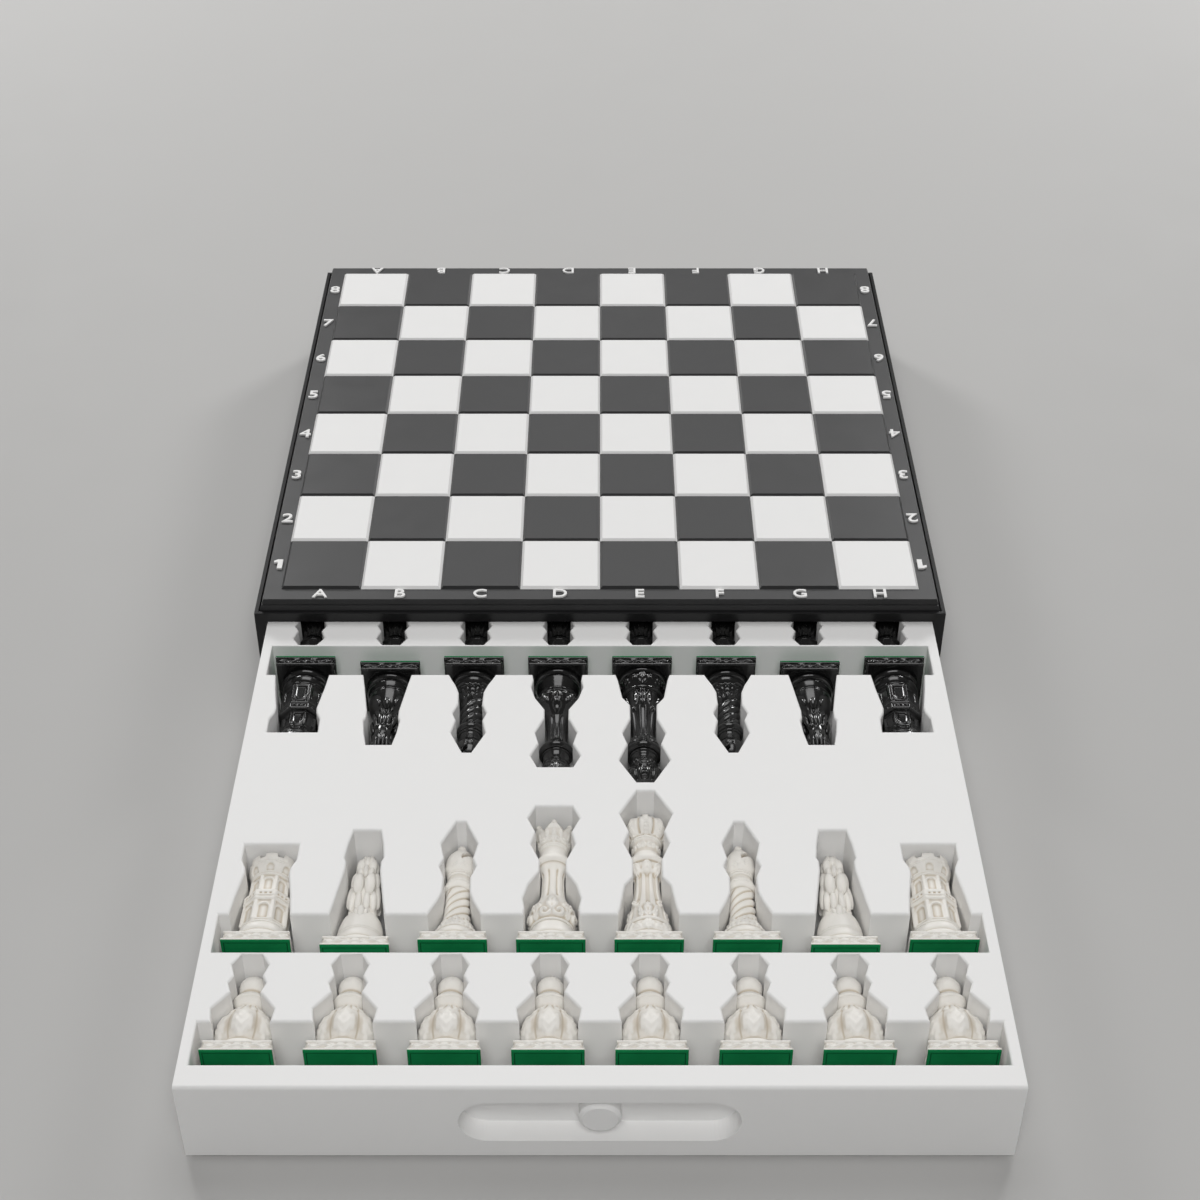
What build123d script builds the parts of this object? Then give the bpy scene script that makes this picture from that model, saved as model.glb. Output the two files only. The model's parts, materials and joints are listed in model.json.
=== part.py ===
from build123d import *
import math
import os

# Chess box: a square case carries the board on its lid, and a drawer slides out of its front.
# The drawer holds the thirty-two men lying down, each in a pocket of its own outline.
# Origin: middle of the case's underside. +Z is up, the drawer opens towards -Y. Millimetres.

# Board on top of the case
SQUARES = 8
SQUARE = 35.0
TILE_BEVEL = 1.1
TILE_SEAT = 2.0
FRAME_MARGIN = 7.0

# Moulding round the board, from its top edge outwards and down
UPPER_CHAMFER_OUT = 0.85
UPPER_CHAMFER_DROP = 1.9
SHADOW_LINE_DROP = 0.8
SHADOW_LINE_INSET = 0.3
LOWER_CHAMFER_OUT = 0.85
LOWER_CHAMFER_DROP = 2.2
PLATE_SUNK = 2.0

# Case
RIM_GROOVE = 0.7
RIM_WIDTH = 1.6
SIDE_THICK = 5.0
BACK_THICK = 5.5
BOTTOM_THICK = 1.6
ROOF_THICK = 2.5

# Drawer
DRAWER_HEIGHT = 37.4
DRAWER_OPEN = 251.0
SIDE_CLEARANCE = 0.5
BOTTOM_CLEARANCE = 0.2
TOP_CLEARANCE = 0.4
BACK_CLEARANCE = 1.0
DRAWER_SIDE_THICK = 4.0
END_THICK = 10.1
FRONT_ROUND = 1.3

# Finger recess and knob in the drawer's front
RECESS_LENGTH = 98.0
RECESS_HEIGHT = 21.0
RECESS_DEPTH = 8.6
KNOB_DIAMETER = 14.8
KNOB_SUNK = 1.0
KNOB_BEVEL = 1.2

# Trenches for the bases of the men, and the lands that carry the pockets
TRENCH_WIDTH = 18.6
PAWN_LAND = 32.0
OUTER_GAP = 2.65
BASE_GAP = 5.9

# Men
PLINTH = 25.0
PLINTH_HEIGHT = 4.6
PLINTH_BEVEL = 0.7
FELT_THICK = 0.8
FELT_INSET = 0.1
LIE_DEPTH = 0.5
KNIGHT_SUNK = 2.7
TURNED_SIDES = 10
TOWER_SIDES = 8
POCKET_CLEARANCE = 0.9
HEAD_REST_GAP = 0.4

# Outline of each man, from the top of its plinth to its tip: height and radius in turn
PAWN_BODY = [(0.0, 9.2), (7.3, 9.5), (13.2, 10.3), (17.2, 7.6), (20.8, 4.3)]
PAWN_HEAD = [(24.4, 5.7), (25.8, 5.7), (28.5, 4.1), (31.8, 5.0), (34.4, 4.9), (36.8, 3.2), (37.5, 1.6)]
ROOK_BASE = [(0.0, 10.4), (4.3, 10.4), (7.4, 9.7)]
ROOK_TOWER = [(7.4, 9.6), (19.4, 9.1), (20.0, 9.4), (23.6, 9.4), (24.6, 7.6), (33.2, 7.5)]
ROOK_TOP = [(33.2, 7.6), (36.0, 9.2), (42.5, 9.5)]
KNIGHT_BASE = [(0.0, 10.6), (4.3, 10.6), (7.3, 9.3), (13.6, 8.2), (18.6, 6.6)]
KNIGHT_HEAD = [(13.6, 7.4), (22.2, 6.9), (29.6, 5.8), (35.1, 5.6), (41.1, 6.1), (45.1, 5.6), (50.1, 4.2)]
BISHOP_BASE = [(0.0, 9.8), (4.3, 9.8), (7.6, 8.6), (12.0, 6.2), (16.6, 4.7)]
BISHOP_COLUMN = [(16.6, 4.6), (27.4, 4.2)]
BISHOP_COLLAR = [(27.4, 4.3), (31.2, 6.0), (32.8, 6.0), (36.2, 4.6)]
BISHOP_MITRE = [(40.0, 5.6), (44.2, 6.1), (49.6, 3.7), (51.8, 1.6), (53.4, 1.8), (54.6, 0.9)]
QUEEN_BASE = [(0.0, 10.4), (4.3, 10.4), (7.3, 9.2), (10.8, 9.0), (15.5, 9.7), (22.3, 7.9), (28.4, 4.6)]
QUEEN_COLUMN = [(28.4, 4.3), (36.2, 4.1)]
QUEEN_HEAD = [(36.2, 4.3), (42.8, 7.4), (44.8, 7.4), (50.5, 5.8), (53.5, 6.0), (62.8, 7.7)]
KING_BASE = [(0.0, 11.0), (4.3, 11.0), (7.3, 10.3), (10.8, 9.4), (21.4, 7.8), (25.8, 5.2)]
KING_COLUMN = [(25.8, 4.9), (36.4, 4.6)]
KING_HEAD = [(36.4, 4.9), (43.2, 7.6), (45.2, 7.6), (50.8, 5.7), (54.6, 5.9), (60.6, 9.0), (64.8, 7.6),
             (67.1, 3.4)]

# Outline that each pocket follows at the pocket clearance: height along the man and half width in turn, wide
# enough for the man to lift out. The first part is as deep as the trench, the second has a head shelf.
PAWN_POCKET = [(6.4, 9.3), (13.2, 10.3), (20.8, 4.3)], [(25.0, 5.8), (28.5, 4.1), (33.5, 5.7), (38.5, 2.9)]
ROOK_POCKET = [(6.4, 10.5), (16.5, 9.3), (28.5, 7.4)], [(31.5, 7.7), (35.5, 9.4), (43.5, 9.5)]
KNIGHT_POCKET = [(6.4, 9.4), (14.8, 8.0), (30.2, 5.7)], [(34.7, 5.7), (36.5, 6.5), (44.0, 5.7), (51.1, 4.3)]
BISHOP_POCKET = ([(6.4, 9.3), (9.5, 8.0), (14.0, 5.8), (18.5, 4.3), (26.3, 4.0)],
                 [(32.0, 6.0), (36.2, 4.5), (44.0, 6.1), (55.7, 0.9)])
QUEEN_POCKET = ([(6.4, 9.7), (10.8, 9.1), (15.5, 9.9), (22.3, 8.1), (29.3, 4.1), (35.1, 4.0)],
                [(43.9, 7.6), (50.5, 6.0), (57.8, 9.1), (64.3, 6.3)])
KING_POCKET = ([(6.4, 10.7), (10.8, 9.5), (22.0, 7.7), (26.5, 4.6), (35.5, 4.5)],
               [(44.3, 7.8), (50.8, 5.8), (60.4, 9.3), (73.1, 2.5)])

# Carved features of the men
FLUTES = 8
FLUTE_SHARE = 0.12
TWIST_PER_RING = 30.0
TWIST_RINGS = 4
MERLONS = 8
MERLON_GAP = 2.4
MERLON_HEIGHT = 2.6
ROOK_WALL = 2.4
MITRE_SLOT = 1.8
MITRE_SLOT_TILT = 35.0
CROWN_POINTS = 6
CROWN_CUT = 4.2
CROWN_WALL = 1.6
CROSS_HEIGHT = 5.0
CROSS_WIDTH = 6.4
CROSS_WAIST = 1.6
CROSS_THICK = 2.4
SNOUT_REACH = 11.6
MANE_REACH = 8.6
EAR_FORWARD = 2.3
EAR_RISE = 1.0

# Order of the men along a rank, from the left
BACK_RANK = ["rook", "knight", "bishop", "queen", "king", "bishop", "knight", "rook"]
FILE_NAMES = "abcdefgh"

# Sizes that follow from the above
BOARD = SQUARES * SQUARE
FRAME_HALF = BOARD / 2 + FRAME_MARGIN
PLATE_HALF = FRAME_HALF + UPPER_CHAMFER_OUT + LOWER_CHAMFER_OUT
WELL_HALF = PLATE_HALF + RIM_GROOVE
CASE_HALF = WELL_HALF + RIM_WIDTH
BAY_HALF = CASE_HALF - SIDE_THICK
DRAWER_HALF = BAY_HALF - SIDE_CLEARANCE
DRAWER_BOTTOM = BOTTOM_THICK + BOTTOM_CLEARANCE
DRAWER_TOP = DRAWER_BOTTOM + DRAWER_HEIGHT
ROOF_BOTTOM = DRAWER_TOP + TOP_CLEARANCE
ROOF_TOP = ROOF_BOTTOM + ROOF_THICK
RIM_TOP = ROOF_TOP + PLATE_SUNK
SHADOW_LINE = RIM_TOP + LOWER_CHAMFER_DROP
FRAME_TOP = SHADOW_LINE + SHADOW_LINE_DROP + UPPER_CHAMFER_DROP
DRAWER_DEPTH = 2 * CASE_HALF - BACK_THICK - BACK_CLEARANCE
DRAWER_FRONT = -CASE_HALF - DRAWER_OPEN
TRENCH_END = DRAWER_HALF - DRAWER_SIDE_THICK
TRENCH_FLOOR = DRAWER_TOP - LIE_DEPTH - PLINTH
AXIS_LEVEL = TRENCH_FLOOR + PLINTH / 2
PAWN_LAND_FRONT = END_THICK + TRENCH_WIDTH
PIECE_TRENCH = PAWN_LAND_FRONT + PAWN_LAND
PIECE_LAND_FRONT = PIECE_TRENCH + TRENCH_WIDTH
MIDDLE = DRAWER_DEPTH / 2
PAWN_FOOT = END_THICK + BASE_GAP + FELT_THICK + PLINTH_HEIGHT
PIECE_FOOT = PIECE_TRENCH + BASE_GAP + FELT_THICK + PLINTH_HEIGHT
FILE_PITCH = (2 * (TRENCH_END - OUTER_GAP) - PLINTH) / (SQUARES - 1)

# Heads, which lie on the shelves, and pockets by kind of man
HEADS = {"pawn": PAWN_HEAD, "rook": ROOK_TOP, "bishop": BISHOP_COLLAR + BISHOP_MITRE, "queen": QUEEN_HEAD,
         "king": KING_HEAD}
POCKETS = {"pawn": PAWN_POCKET, "rook": ROOK_POCKET, "knight": KNIGHT_POCKET, "bishop": BISHOP_POCKET,
           "queen": QUEEN_POCKET, "king": KING_POCKET}


def block(x, y, z):
    """Box between the low and high value given along each axis."""
    size = [high - low for low, high in (x, y, z)]
    middle = [(high + low) / 2 for low, high in (x, y, z)]
    return Pos(*middle) * Box(*size)


def frustum(low_half, high_half, low, high):
    """Square block whose sides lean evenly from one half width to the other."""
    return loft([Pos(0, 0, low) * Rectangle(2 * low_half, 2 * low_half),
                 Pos(0, 0, high) * Rectangle(2 * high_half, 2 * high_half)], ruled=True)


# Case

def board_well():
    """Space inside the rim, above the roof, that the board plate sits in with the groove round it."""
    return block((-WELL_HALF, WELL_HALF), (-WELL_HALF, WELL_HALF), (ROOF_TOP, RIM_TOP))


def case_side(hand):
    inner, outer = sorted((hand * BAY_HALF, hand * CASE_HALF))
    return block((inner, outer), (-CASE_HALF, CASE_HALF), (0, RIM_TOP)) - board_well()


def case_back():
    return block((-BAY_HALF, BAY_HALF), (CASE_HALF - BACK_THICK, CASE_HALF), (0, RIM_TOP)) - board_well()


def case_bottom():
    return block((-BAY_HALF, BAY_HALF), (-CASE_HALF, CASE_HALF - BACK_THICK), (0, BOTTOM_THICK))


def case_roof():
    """Roof plate over the drawer. Its front edge is the rail above the drawer and carries the rim."""
    plate = block((-BAY_HALF, BAY_HALF), (-CASE_HALF, CASE_HALF - BACK_THICK), (ROOF_BOTTOM, RIM_TOP))
    return plate - board_well()


def board_plate():
    """Board plate with two chamfers, a shadow line between them, and a seat for the squares."""
    lower_half = PLATE_HALF - LOWER_CHAMFER_OUT
    line_half = lower_half - SHADOW_LINE_INSET
    upper_foot = SHADOW_LINE + SHADOW_LINE_DROP
    plate = frustum(PLATE_HALF, PLATE_HALF, ROOF_TOP, RIM_TOP)
    plate += frustum(PLATE_HALF, lower_half, RIM_TOP, SHADOW_LINE)
    plate += frustum(line_half, line_half, SHADOW_LINE, upper_foot)
    plate += frustum(lower_half, FRAME_HALF, upper_foot, FRAME_TOP)
    half = BOARD / 2
    return plate - block((-half, half), (-half, half), (FRAME_TOP - TILE_SEAT, FRAME_TOP))


def squares(dark):
    """Half of the squares: raised tiles with bevelled tops, dark ones starting at the near left corner."""
    tile = block((0, SQUARE), (0, SQUARE), (FRAME_TOP - TILE_SEAT, FRAME_TOP + TILE_BEVEL))
    tile = chamfer(tile.faces().sort_by(Axis.Z)[-1].edges(), TILE_BEVEL)
    places = [(column, row) for column in range(SQUARES) for row in range(SQUARES)]
    return [Pos(column * SQUARE - BOARD / 2, row * SQUARE - BOARD / 2, 0) * tile
            for column, row in places if ((column + row) % 2 == 0) == dark]


# Drawer

def drawer_block(x, depth, z):
    """Box in the drawer, with its depth measured back from the drawer's front face."""
    return block(x, [DRAWER_FRONT + value for value in depth], z)


def recess_centre():
    """Middle of the recess on the drawer's front face, facing forwards."""
    return Location((0, DRAWER_FRONT, DRAWER_BOTTOM + DRAWER_HEIGHT / 2), (90, 0, 0))


def drawer_front():
    """Front wall with a rounded top edge and a long finger recess with round ends."""
    full = (-DRAWER_HALF, DRAWER_HALF)
    wall = drawer_block(full, (0, END_THICK), (DRAWER_BOTTOM, DRAWER_TOP))
    wall = fillet(wall.edges().filter_by(Axis.X).group_by(Axis.Z)[-1].sort_by(Axis.Y)[0], FRONT_ROUND)
    mouth = recess_centre() * SlotOverall(RECESS_LENGTH, RECESS_HEIGHT)
    return wall - extrude(mouth, -RECESS_DEPTH)


def knob():
    """Short round knob standing on the recess floor, a little behind the drawer's front face."""
    disc = recess_centre() * Pos(0, 0, -RECESS_DEPTH) * Circle(KNOB_DIAMETER / 2)
    body = extrude(disc, RECESS_DEPTH - KNOB_SUNK)
    return chamfer(body.edges().group_by(Axis.Y)[0], KNOB_BEVEL)


def drawer_back():
    depth = (DRAWER_DEPTH - END_THICK, DRAWER_DEPTH)
    return drawer_block((-DRAWER_HALF, DRAWER_HALF), depth, (DRAWER_BOTTOM, DRAWER_TOP))


def drawer_side(hand):
    x = sorted((hand * TRENCH_END, hand * DRAWER_HALF))
    return drawer_block(x, (END_THICK, DRAWER_DEPTH - END_THICK), (DRAWER_BOTTOM, DRAWER_TOP))


def file_x(index):
    return (index - (SQUARES - 1) / 2) * FILE_PITCH


def drawer_floor():
    """Floor under trenches and pockets, with a shallow well below each knight."""
    x = (-TRENCH_END, TRENCH_END)
    floor = drawer_block(x, (END_THICK, DRAWER_DEPTH - END_THICK), (DRAWER_BOTTOM, TRENCH_FLOOR))
    wells = []
    half = PLINTH / 2 + POCKET_CLEARANCE
    pocket_end = KNIGHT_POCKET[-1][-1][0]
    reach = (PIECE_TRENCH + BASE_GAP - POCKET_CLEARANCE, PIECE_FOOT + pocket_end)
    for index, kind in enumerate(BACK_RANK):
        if kind == "knight":
            x = (file_x(index) - half, file_x(index) + half)
            z = (TRENCH_FLOOR - KNIGHT_SUNK, TRENCH_FLOOR)
            wells.append(drawer_block(x, reach, z))
            wells.append(drawer_block(x, [DRAWER_DEPTH - value for value in reversed(reach)], z))
    return floor - wells


def pocket_face(outline, foot, x, black):
    """Pocket seen from above, laid out from the man's foot on both sides of its middle."""
    right = [(half + POCKET_CLEARANCE, foot + height) for height, half in outline]
    around = right + [(-across, depth) for across, depth in reversed(right)]
    if black:
        around = [(across, DRAWER_DEPTH - depth) for across, depth in reversed(around)]
    return Polygon(*[(x + across, DRAWER_FRONT + depth) for across, depth in around], align=None)


def straight_cut(face, low, high):
    return extrude(Pos(0, 0, low) * face, high - low, dir=(0, 0, 1))


def pocket(kind, foot, x, black):
    """Straight-walled pocket: deep for the lower half of the man, shallower on a shelf under its head."""
    body, head = POCKETS[kind]
    shelf = TRENCH_FLOOR
    if kind in HEADS:
        shelf = AXIS_LEVEL - max(radius for height, radius in HEADS[kind]) - HEAD_REST_GAP
    cuts = [straight_cut(pocket_face(body + head, foot, x, black), shelf, DRAWER_TOP)]
    if shelf > TRENCH_FLOOR:
        cuts.append(straight_cut(pocket_face(body, foot, x, black), TRENCH_FLOOR, shelf))
    return cuts


def cradle(kinds, first, last, foot, black):
    """Land across the drawer with one pocket for each man of a rank."""
    depth = [first, last]
    if black:
        depth = [DRAWER_DEPTH - value for value in reversed(depth)]
    land = drawer_block((-TRENCH_END, TRENCH_END), depth, (TRENCH_FLOOR, DRAWER_TOP))
    cuts = []
    for index, kind in enumerate(kinds):
        cuts += pocket(kind, foot, file_x(index), black)
    return land - cuts


# Men, standing with the top of the plinth at height zero

def ring(height, radius, sides=TURNED_SIDES):
    """Corners of a regular polygon with a flat towards +X."""
    turns = [(step + 0.5) * 2 * math.pi / sides for step in range(sides)]
    return [Vector(radius * math.cos(turn), radius * math.sin(turn), height) for turn in turns]


def lobed_ring(height, radius, turn=0.0):
    """Corners of a fluted section: lobes and hollows in turn round a circle."""
    corners = []
    for step in range(2 * FLUTES):
        reach = radius * (1 - FLUTE_SHARE * (step % 2))
        angle = math.radians(turn) + step * math.pi / FLUTES
        corners.append(Vector(reach * math.cos(angle), reach * math.sin(angle), height))
    return corners


def faceted(rings, twisted=False):
    """Closed body of flat facets from ring to ring, split into triangles where the rings turn."""
    loops = [rings[0], rings[-1]]
    for low, high in zip(rings, rings[1:]):
        for here in range(len(low)):
            there = (here + 1) % len(low)
            if twisted:
                loops.append([low[here], low[there], high[there]])
                loops.append([low[here], high[there], high[here]])
            else:
                loops.append([low[here], low[there], high[there], high[here]])
    return Solid(Shell([Face(Wire.make_polygon(loop)) for loop in loops]))


def turned(outline, sides=TURNED_SIDES):
    """Turned form through the given heights and radii."""
    return faceted([ring(height, radius, sides) for height, radius in outline])


def plinth():
    """Square foot with bevelled upper edges."""
    half = PLINTH / 2
    foot = block((-half, half), (-half, half), (-PLINTH_HEIGHT, 0))
    return chamfer(foot.faces().sort_by(Axis.Z)[-1].edges(), PLINTH_BEVEL)


def felt():
    half = PLINTH / 2 - FELT_INSET
    return block((-half, half), (-half, half), (-PLINTH_HEIGHT - FELT_THICK, -PLINTH_HEIGHT))


def pawn():
    return plinth() + turned(PAWN_BODY + PAWN_HEAD)


def rook():
    """Octagonal tower on a ring base, with a gallery and a battlement of evenly cut merlons."""
    tower = plinth() + turned(ROOK_BASE) + turned(ROOK_TOWER, TOWER_SIDES) + turned(ROOK_TOP)
    top, radius = ROOK_TOP[-1]
    floor = top - MERLON_HEIGHT
    tower -= turned([(floor, radius - ROOK_WALL), (top, radius - ROOK_WALL)])
    gap = block((-radius, radius), (-MERLON_GAP / 2, MERLON_GAP / 2), (floor, top))
    return tower - [Rot(0, 0, turn * 360 / MERLONS) * gap for turn in range(MERLONS // 2)]


def horse_side():
    """Side outline of a horse's head and neck, in shares of its rise and of its reach to snout and mane."""
    foot = KNIGHT_HEAD[0][0]
    rise = KNIGHT_HEAD[-1][0] - foot
    throat = [(0.40, 0.36), (0.44, 0.50)]
    muzzle = [(0.88, 0.46), (1.00, 0.54), (0.92, 0.62)]
    brow = [(0.44, 0.86)]
    crest = [(0.12, 0.91), (0.72, 0.72), (1.00, 0.40)]
    points = [(KNIGHT_HEAD[0][1], foot)]
    points += [(SNOUT_REACH * out, foot + rise * up) for out, up in throat + muzzle + brow]
    points += [(EAR_FORWARD, foot + rise + EAR_RISE)]
    points += [(-MANE_REACH * out, foot + rise * up) for out, up in crest]
    points += [(-KNIGHT_HEAD[0][1], foot)]
    return Polyline(*points, close=True)


def knight():
    """Horse's head, cut from a side outline and from the taper seen from the front, on a turned base."""
    ear_tip = KNIGHT_HEAD[-1][0] + EAR_RISE
    profile = extrude(Plane.YZ * make_face(horse_side()), KNIGHT_BASE[0][1], both=True)
    right = [(radius, height) for height, radius in KNIGHT_HEAD] + [(KNIGHT_HEAD[-1][1], ear_tip)]
    front = Polyline(*right, *[(-across, height) for across, height in reversed(right)], close=True)
    taper = extrude(Plane.XZ * make_face(front), SNOUT_REACH + MANE_REACH, both=True)
    return plinth() + turned(KNIGHT_BASE) + (profile & taper)


def bishop():
    """Twisted column between a ring base and a mitre with a slanting slot and a ball on top."""
    (low, low_radius), (high, high_radius) = BISHOP_COLUMN
    rings = []
    for step in range(TWIST_RINGS + 1):
        share = step / TWIST_RINGS
        radius = low_radius + share * (high_radius - low_radius)
        rings.append(lobed_ring(low + share * (high - low), radius, step * TWIST_PER_RING))
    body = plinth() + turned(BISHOP_BASE) + faceted(rings, twisted=True)
    body += turned(BISHOP_COLLAR + BISHOP_MITRE)
    height, radius = max(BISHOP_MITRE, key=lambda station: station[1])
    slot = block((0, 2 * radius), (-radius, radius), (-MITRE_SLOT / 2, MITRE_SLOT / 2))
    return body - Pos(radius / 4, 0, height) * Rot(0, -MITRE_SLOT_TILT, 0) * slot


def fluted_column(outline):
    return faceted([lobed_ring(height, radius) for height, radius in outline])


def queen():
    """Fluted column with an open coronet, its rim cut into even points."""
    body = plinth() + turned(QUEEN_BASE) + fluted_column(QUEEN_COLUMN) + turned(QUEEN_HEAD)
    top, radius = QUEEN_HEAD[-1]
    floor = top - CROWN_CUT
    cup = turned([(floor, QUEEN_HEAD[-2][1] - CROWN_WALL), (top, radius - CROWN_WALL)])
    half = radius * math.tan(math.pi / CROWN_POINTS)
    notch = Plane.YZ * make_face(Polyline((0, floor), (half, top), (-half, top), close=True))
    cut = extrude(notch, radius, both=True)
    return body - cup - [Rot(0, 0, turn * 360 / CROWN_POINTS) * cut for turn in range(CROWN_POINTS // 2)]


def king():
    """Fluted column under a closed crown with a splayed cross on it."""
    body = plinth() + turned(KING_BASE) + fluted_column(KING_COLUMN) + turned(KING_HEAD)
    foot = KING_HEAD[-1][0]
    centre = foot + CROSS_HEIGHT / 2
    half, waist = CROSS_WIDTH / 2, CROSS_WAIST / 2
    upright = Polyline((-half / 2, foot), (-waist, centre), (-half / 2, foot + CROSS_HEIGHT),
                       (half / 2, foot + CROSS_HEIGHT), (waist, centre), (half / 2, foot), close=True)
    arms = Polyline((-half, centre - half / 2), (0, centre - waist), (half, centre - half / 2),
                    (half, centre + half / 2), (0, centre + waist), (-half, centre + half / 2), close=True)
    cross = [extrude(Plane.XZ * make_face(line), CROSS_THICK / 2, both=True) for line in (upright, arms)]
    return body + cross


MAKERS = {"pawn": pawn, "rook": rook, "knight": knight, "bishop": bishop, "queen": queen, "king": king}


def laid(kind, solids, index, black):
    """A standing man laid in its pocket: white heads point to the back, black heads to the front.

    Black men are turned so that the same side is up as on the white ones, but their knights lie face up.
    """
    foot = PAWN_FOOT if kind == "pawn" else PIECE_FOOT
    depth = DRAWER_DEPTH - foot if black else foot
    level = AXIS_LEVEL - (KNIGHT_SUNK if kind == "knight" else 0)
    place = Location((file_x(index), DRAWER_FRONT + depth, level), (90 if black else -90, 0, 0))
    turned_round = black and kind != "knight"
    return [place * Rot(0, 0, 180 if turned_round else 0) * solid for solid in solids]


def men():
    """Every man with its felt pad, by node name."""
    standing = {kind: [make(), felt()] for kind, make in MAKERS.items()}
    ranks = [("white", "pawn"), ("black", "pawn"), ("white", None), ("black", None)]
    nodes = {}
    for colour, only in ranks:
        for index, file_name in enumerate(FILE_NAMES):
            kind = only or BACK_RANK[index]
            nodes[f"{colour}_{kind}_{file_name}"] = laid(kind, standing[kind], index, colour == "black")
    return nodes


def drawer():
    pawns = ["pawn"] * SQUARES
    return {
        "drawer_front": [drawer_front()],
        "drawer_back": [drawer_back()],
        "drawer_left_side": [drawer_side(-1)],
        "drawer_right_side": [drawer_side(1)],
        "drawer_floor": [drawer_floor()],
        "drawer_knob": [knob()],
        "white_pawn_cradle": [cradle(pawns, PAWN_LAND_FRONT, PIECE_TRENCH, PAWN_FOOT, False)],
        "white_piece_cradle": [cradle(BACK_RANK, PIECE_LAND_FRONT, MIDDLE, PIECE_FOOT, False)],
        "black_piece_cradle": [cradle(BACK_RANK, PIECE_LAND_FRONT, MIDDLE, PIECE_FOOT, True)],
        "black_pawn_cradle": [cradle(pawns, PAWN_LAND_FRONT, PIECE_TRENCH, PAWN_FOOT, True)],
    }


def case():
    return {
        "case_left_side": [case_side(-1)],
        "case_right_side": [case_side(1)],
        "case_back": [case_back()],
        "case_bottom": [case_bottom()],
        "case_roof": [case_roof()],
        "board_plate": [board_plate()],
        "dark_squares": squares(True),
        "light_squares": squares(False),
    }


def single_solids(shapes):
    """Plain solids of the given shapes, in order."""
    return [solid for shape in shapes for solid in shape.solids()]


os.makedirs("parts", exist_ok=True)
for name, shapes in {**case(), **drawer(), **men()}.items():
    solids = single_solids(shapes)
    node = solids[0] if len(solids) == 1 else Compound(children=solids)
    export_step(node, f"parts/{name}.step")
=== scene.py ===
import json
import math

import bpy
import numpy as np
from mathutils.geometry import tessellate_polygon
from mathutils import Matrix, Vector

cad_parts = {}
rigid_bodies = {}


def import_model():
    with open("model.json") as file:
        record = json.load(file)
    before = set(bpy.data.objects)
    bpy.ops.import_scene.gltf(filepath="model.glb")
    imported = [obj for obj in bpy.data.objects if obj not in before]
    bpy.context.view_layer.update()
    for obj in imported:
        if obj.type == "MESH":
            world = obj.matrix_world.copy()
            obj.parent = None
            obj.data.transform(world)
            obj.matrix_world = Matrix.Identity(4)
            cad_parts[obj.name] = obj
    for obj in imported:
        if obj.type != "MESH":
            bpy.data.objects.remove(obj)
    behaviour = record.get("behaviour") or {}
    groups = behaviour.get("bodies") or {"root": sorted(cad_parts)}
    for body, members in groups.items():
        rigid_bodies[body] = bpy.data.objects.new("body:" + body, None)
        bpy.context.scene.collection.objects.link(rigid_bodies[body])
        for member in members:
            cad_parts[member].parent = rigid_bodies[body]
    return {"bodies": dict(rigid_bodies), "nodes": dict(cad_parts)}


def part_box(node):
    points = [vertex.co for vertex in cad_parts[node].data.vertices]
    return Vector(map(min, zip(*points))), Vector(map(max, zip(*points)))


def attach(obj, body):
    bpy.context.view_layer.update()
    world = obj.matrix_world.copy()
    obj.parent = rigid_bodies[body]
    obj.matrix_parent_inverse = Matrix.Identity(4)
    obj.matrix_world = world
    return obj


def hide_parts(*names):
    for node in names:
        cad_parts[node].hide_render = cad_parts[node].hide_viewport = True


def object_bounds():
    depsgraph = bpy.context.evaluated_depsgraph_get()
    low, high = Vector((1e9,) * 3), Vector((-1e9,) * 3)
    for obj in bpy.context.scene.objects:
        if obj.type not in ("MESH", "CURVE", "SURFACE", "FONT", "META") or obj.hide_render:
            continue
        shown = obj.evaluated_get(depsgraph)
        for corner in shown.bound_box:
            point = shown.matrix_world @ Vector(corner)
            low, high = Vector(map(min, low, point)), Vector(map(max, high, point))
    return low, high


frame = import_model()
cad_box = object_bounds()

MM = 0.001
FILES = "abcdefgh"
RANK = ["rook", "knight", "bishop", "queen", "king", "bishop", "knight", "rook"]

# Sizes of the men's feet in millimetres, as in the frame
PLINTH_HALF = 12.5
PLINTH_HEIGHT = 4.6
FELT_THICK = 0.8
FOOT_FLARE = 0.028

# Signs on the margin, whose outer edge lies at the frame half
FRAME_HALF = 147.0
LETTER_HEIGHT = 5.4
NUMBER_HEIGHT = 6.4
SIGN_RISE = 0.8
SIGN_SINK = 0.05
SIGN_WIDEN = 1.22

# Drawer rims: radius of the wide ones and of the two narrow ones, points on each quarter circle, and the
# distance within which two faces count as level
RIM = 1.0
THIN_RIM = 0.3
RIM_STEPS = 5
NEAR = 1e-3

# Brightness of the soft light all round, at the horizon and overhead, and its colour
SKY_LOW = 0.05
SKY_HIGH = 0.12
SKY_COLOUR = (1.0, 0.985, 0.965, 1)

# Area lamps: name, place and size in metres, power in watts; all aim at the drawer
LAMPS = [("front", (0.0, -1.2, 1.25), 0.6, 9.3), ("top", (0.0, 0.45, 1.5), 1.0, 6.6),
         ("back", (0.0, 1.7, 1.1), 0.5, 1.2), ("left", (-0.85, 1.35, 0.8), 0.4, 8.5),
         ("right", (0.85, 1.35, 0.8), 0.4, 8.5)]
LAMPS_AIM = (0.0, -0.1, 0.0)
FLOOR_SIZE = 8

# View: a 60 mm lens looking down at the drawer from the front
LENS_MM = 60.0
SENSOR_MM = 36.0
PITCH_DEG = 38.4
CAMERA_AT = (0.0, -0.8313, 0.5909)


# Materials

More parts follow.
